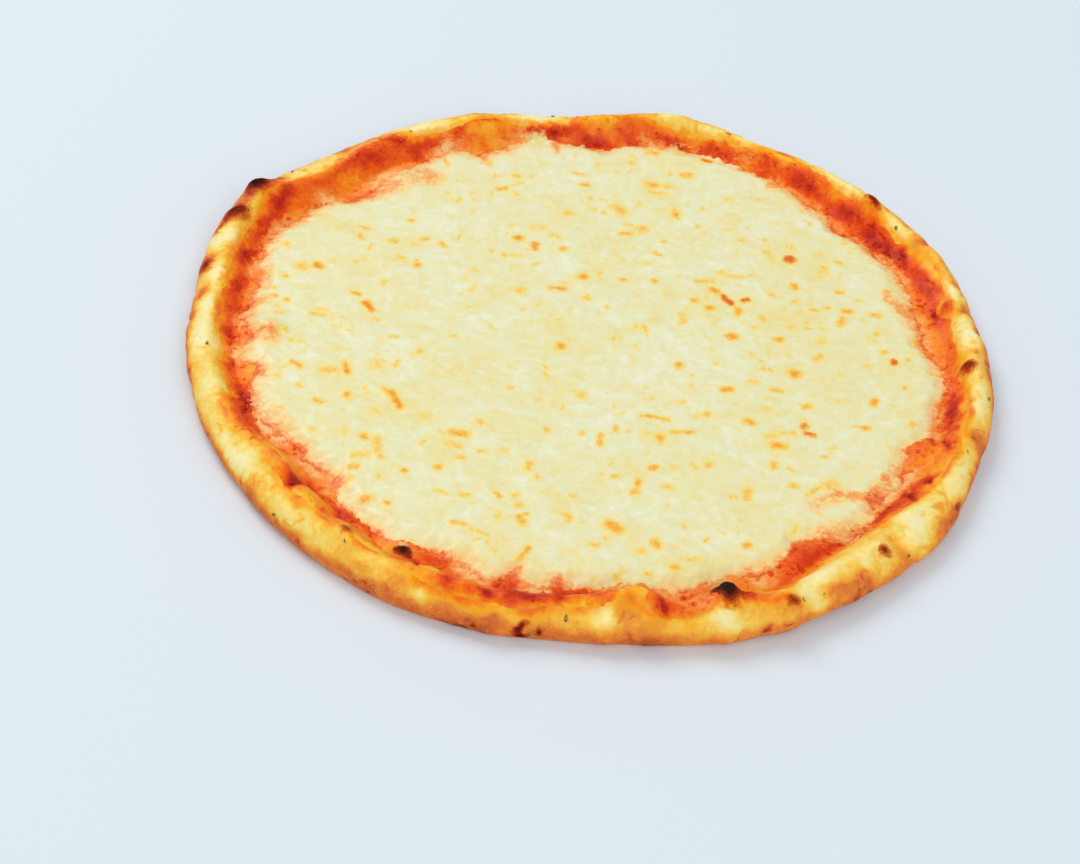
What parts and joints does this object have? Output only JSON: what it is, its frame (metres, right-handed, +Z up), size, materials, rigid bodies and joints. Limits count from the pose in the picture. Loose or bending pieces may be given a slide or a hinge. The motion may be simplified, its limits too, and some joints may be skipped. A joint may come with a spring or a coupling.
{
  "type": "margherita pizza",
  "caption": "Whole round margherita pizza: dough crust with an uneven raised rim, tomato sauce and melted cheese; lies flat on a board, plate or tray.",
  "frame": {"origin": "middle of the pizza's bounding box, on the surface it rests on", "axes": "+Z up through the pizza; -Y towards the side that faces the viewer"},
  "size_m": [0.3032, 0.302, 0.017],
  "materials": {
    "crust": "matte baked dough, pale gold with browned and charred blisters",
    "tomato_sauce": "moist cooked tomato, deep red to orange where oily",
    "melted_cheese": "satin melted cheese, pale cream with orange oil flecks"
  },
  "bodies": {
    "root": {"crust": "crust", "tomato_sauce": "tomato_sauce", "melted_cheese": "melted_cheese"}
  },
  "joints": []
}
